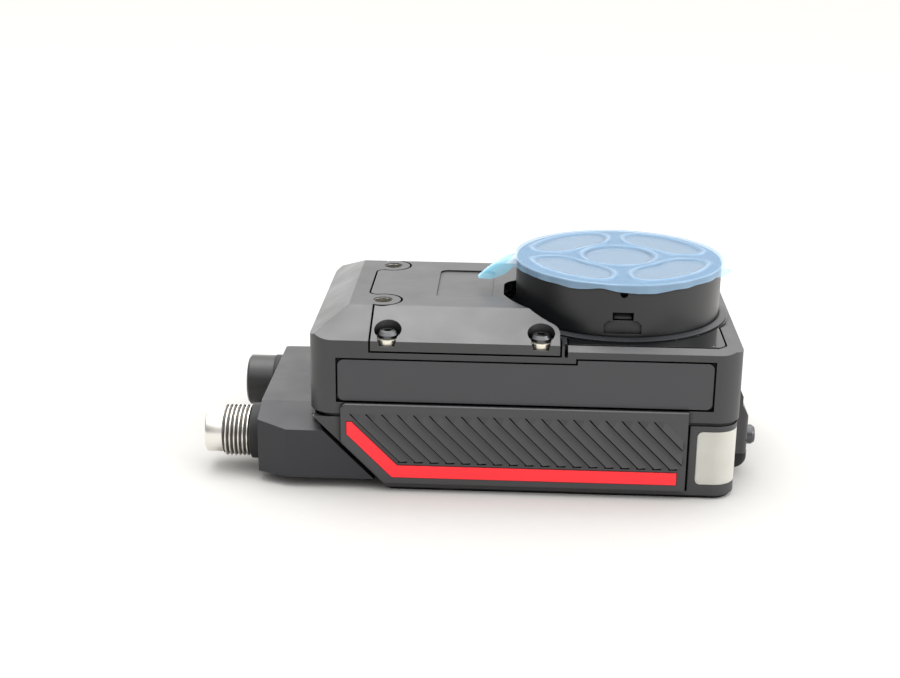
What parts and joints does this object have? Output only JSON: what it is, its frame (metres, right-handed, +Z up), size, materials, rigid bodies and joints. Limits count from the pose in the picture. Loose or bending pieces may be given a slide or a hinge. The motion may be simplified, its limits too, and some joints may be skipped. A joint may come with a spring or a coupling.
{
  "type": "machine vision camera",
  "caption": "Compact industrial camera with built-in ring light, covered screw-down housing and a swivelling connector block with a threaded power socket.",
  "frame": {"origin": "centre of the housing's flat underside", "axes": "+X from the connectors to the lamp end, +Y from the front side to the rear side, +Z up out of the lens"},
  "size_m": [0.1285, 0.0628, 0.0487],
  "materials": {
    "housing_black": "fine matt texture",
    "panel_grey": "smooth matt",
    "collar_grey": "smooth matt",
    "bezel_gloss": "polished",
    "seal_rubber": "smooth",
    "cap_plastic": "satin",
    "stripe_red": "satin",
    "lamp_lens": "milky diffuser",
    "window_glass": "clear",
    "film_blue": "clear film",
    "screw_black": "black oxide",
    "washer_steel": "plain",
    "insert_nickel": "nickel plated",
    "insert_black": "smooth",
    "pin_gold": "gold plated",
    "board_green": "solder mask",
    "emitter_white": "smooth",
    "chip_black": "smooth",
    "lens_metal": "black anodised",
    "spreader_metal": "milled"
  },
  "bodies": {
    "camera": {"base_housing": "housing_black", "base_screws": "screw_black", "board_screws": "screw_black", "board_spacers": "washer_steel", "camera_window": "window_glass", "cover_screw_washers": "washer_steel", "cover_screws": "screw_black", "end_boot": "seal_rubber", "end_cover": "housing_black", "end_cover_screw": "screw_black", "floor_spacers": "washer_steel", "front_bezel": "bezel_gloss", "head_collar": "collar_grey", "head_face": "housing_black", "head_shell": "housing_black", "heat_spreader": "spreader_metal", "housing_gasket": "seal_rubber", "image_sensor": "chip_black", "indicator_lens_front": "lamp_lens", "indicator_lens_rear": "lamp_lens", "led_board": "board_green", "led_emitters": "emitter_white", "lens_barrel": "lens_metal", "lens_glasses": "window_glass", "lens_holder": "housing_black", "lens_lock_ring": "lens_metal", "light_chamber": "housing_black", "light_lenses": "window_glass", "main_board": "board_green", "mounting_inserts": "insert_nickel", "power_board": "board_green", "processor": "chip_black", "protective_film": "film_blue", "red_stripe_front": "stripe_red", "red_stripe_rear": "stripe_red", "sensor_board": "board_green", "side_panel_front": "panel_grey", "side_panel_rear": "panel_grey", "side_trim_front": "housing_black", "side_trim_rear": "housing_black", "snap_hook": "housing_black", "swivel_seal": "seal_rubber", "thermal_pad": "seal_rubber", "top_cover": "housing_black", "upper_housing": "housing_black"},
    "swivel": {"connector_block": "housing_black", "swivel_spindle": "washer_steel", "swivel_clip": "washer_steel", "power_connector_insert": "insert_black", "power_connector_pins": "pin_gold", "power_connector_shell": "insert_nickel", "power_connector_washer": "seal_rubber", "network_connector_contacts": "pin_gold", "network_connector_insert": "insert_black", "network_connector_shell": "insert_nickel", "network_connector_washer": "seal_rubber"},
    "cap": {"network_cap": "cap_plastic"}
  },
  "joints": [
    {"name": "connector_swivel", "type": "hinge", "parent": "camera", "child": "swivel", "pos_m": [-0.0412, 0, 0.0099], "axis": [-0.7071, 0, -0.7071], "range_deg": [0, 180]},
    {"name": "network_cap_pull", "type": "slide", "parent": "swivel", "child": "cap", "axis": [-1, 0, 0], "range_m": [0, 0.008]}
  ]
}
